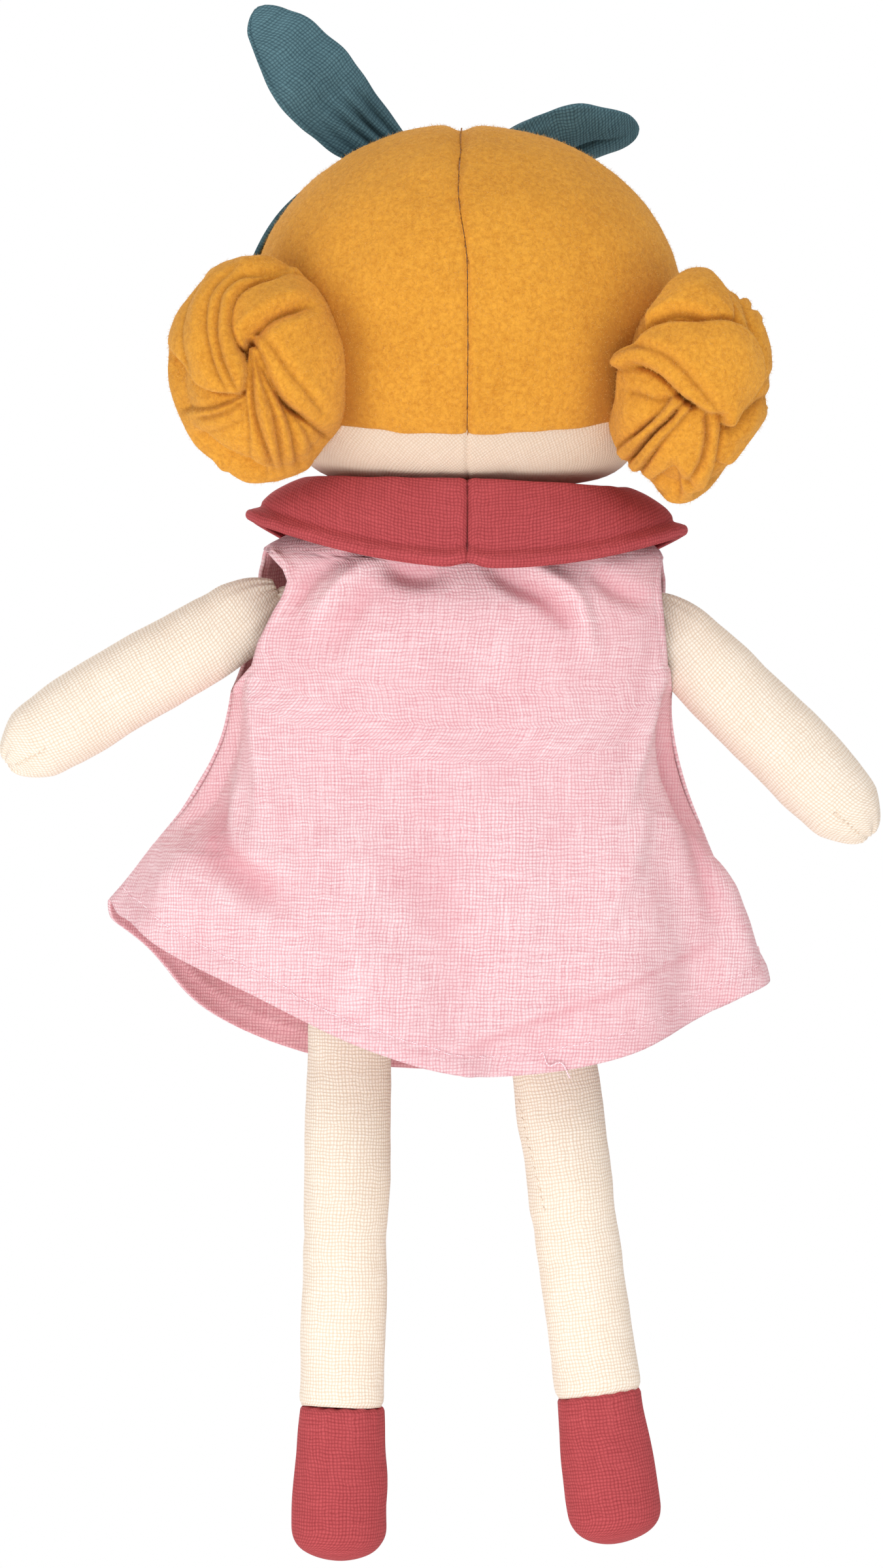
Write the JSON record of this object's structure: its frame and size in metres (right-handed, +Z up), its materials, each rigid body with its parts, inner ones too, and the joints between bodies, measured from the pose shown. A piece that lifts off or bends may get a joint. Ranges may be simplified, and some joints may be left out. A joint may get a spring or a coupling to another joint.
{
  "type": "cloth doll",
  "caption": "Soft cloth doll with a stuffed body, hanging limbs, felt hair tied into side buns, an eared bow, and a flared sleeveless dress with a rolled collar.",
  "frame": {"origin": "middle of the stuffed body at the waist, where the upright doll is held", "axes": "+Z up towards the crown, the face towards -Y, the doll's own left side +X"},
  "size_m": [0.2147, 0.0883, 0.3802],
  "materials": {
    "cream_linen": "matte",
    "fibre_filling": "matte",
    "mustard_felt": "matte",
    "teal_linen": "matte",
    "red_linen": "matte",
    "pink_linen": "matte",
    "brown_thread": "matte",
    "rose_thread": "matte"
  },
  "bodies": {
    "torso": {"torso_cover": "cream_linen", "torso_filling": "fibre_filling", "dress_front": "pink_linen", "dress_back": "pink_linen", "neck_binding": "red_linen", "collar_left": "red_linen", "collar_right": "red_linen", "collar_lining_left": "red_linen", "collar_lining_right": "red_linen"},
    "neck": {"neck_cover": "cream_linen", "neck_filling": "fibre_filling"},
    "head": {"face_panel": "cream_linen", "hair_back_left": "mustard_felt", "hair_back_right": "mustard_felt", "nape_panel_left": "cream_linen", "nape_panel_right": "cream_linen", "hair_front_left": "mustard_felt", "hair_front_right": "mustard_felt", "head_filling": "fibre_filling", "eye_left": "brown_thread", "eye_right": "brown_thread", "nose": "rose_thread", "mouth": "rose_thread", "headband": "teal_linen", "bow_knot": "teal_linen", "bun_left": "mustard_felt", "bun_right": "mustard_felt"},
    "bow_ear_left": {"bow_ear_left": "teal_linen"},
    "bow_ear_right": {"bow_ear_right": "teal_linen"},
    "shoulder_left": {"shoulder_gather_left": "cream_linen"},
    "arm_left": {"arm_cover_left": "cream_linen", "arm_filling_left": "fibre_filling"},
    "shoulder_right": {"shoulder_gather_right": "cream_linen"},
    "arm_right": {"arm_cover_right": "cream_linen", "arm_filling_right": "fibre_filling"},
    "hip_seam": {"hip_seam_tape": "cream_linen"},
    "leg_left": {"leg_cover_left": "cream_linen", "leg_filling_left": "fibre_filling", "shoe_left": "red_linen"},
    "leg_right": {"leg_cover_right": "cream_linen", "leg_filling_right": "fibre_filling", "shoe_right": "red_linen"}
  },
  "joints": [
    {"name": "neck_nod", "type": "hinge", "parent": "torso", "child": "neck", "pos_m": [0, 0, 0.06435], "axis": [1, 0, 0], "range_deg": [-4, 8]},
    {"name": "head_turn", "type": "hinge", "parent": "neck", "child": "head", "pos_m": [0, 0, 0.06435], "axis": [0, 0, 1], "range_deg": [-60, 60]},
    {"name": "ear_flop_left", "type": "hinge", "parent": "head", "child": "bow_ear_left", "pos_m": [0.005, -0.029, 0.13294], "axis": [0, -1, 0], "range_deg": [0, 30]},
    {"name": "ear_flop_right", "type": "hinge", "parent": "head", "child": "bow_ear_right", "pos_m": [0.005, -0.029, 0.13294], "axis": [0, 1, 0], "range_deg": [0, 35]},
    {"name": "arm_raise_left", "type": "hinge", "parent": "torso", "child": "shoulder_left", "pos_m": [0.04423, 0, 0.0294], "axis": [0, -1, 0], "range_deg": [-5, 55], "deforming": ["dress_front", "dress_back"]},
    {"name": "arm_swing_left", "type": "hinge", "parent": "shoulder_left", "child": "arm_left", "pos_m": [0.04423, 0, 0.0294], "axis": [0, 0, -1], "range_deg": [-25, 75], "deforming": ["dress_front", "dress_back"]},
    {"name": "arm_raise_right", "type": "hinge", "parent": "torso", "child": "shoulder_right", "pos_m": [-0.04195, 0, 0.0272], "axis": [0, 1, 0], "range_deg": [-5, 68], "deforming": ["dress_front", "dress_back"]},
    {"name": "arm_swing_right", "type": "hinge", "parent": "shoulder_right", "child": "arm_right", "pos_m": [-0.04195, 0, 0.0272], "axis": [0, 0, 1], "range_deg": [-25, 75], "deforming": ["dress_front", "dress_back"]},
    {"name": "sit_fold", "type": "hinge", "parent": "torso", "child": "hip_seam", "pos_m": [0, 0, -0.05465], "axis": [-1, 0, 0], "range_deg": [-15, 80], "deforming": ["dress_front", "dress_back"]},
    {"name": "leg_swing_left", "type": "hinge", "parent": "hip_seam", "child": "leg_left", "pos_m": [0.0278, 0, -0.05465], "axis": [-1, 0, 0], "range_deg": [-15, 15], "deforming": ["dress_front", "dress_back"]},
    {"name": "leg_swing_right", "type": "hinge", "parent": "hip_seam", "child": "leg_right", "pos_m": [-0.0169, 0, -0.05465], "axis": [-1, 0, 0], "range_deg": [-15, 15], "deforming": ["dress_front", "dress_back"]}
  ]
}
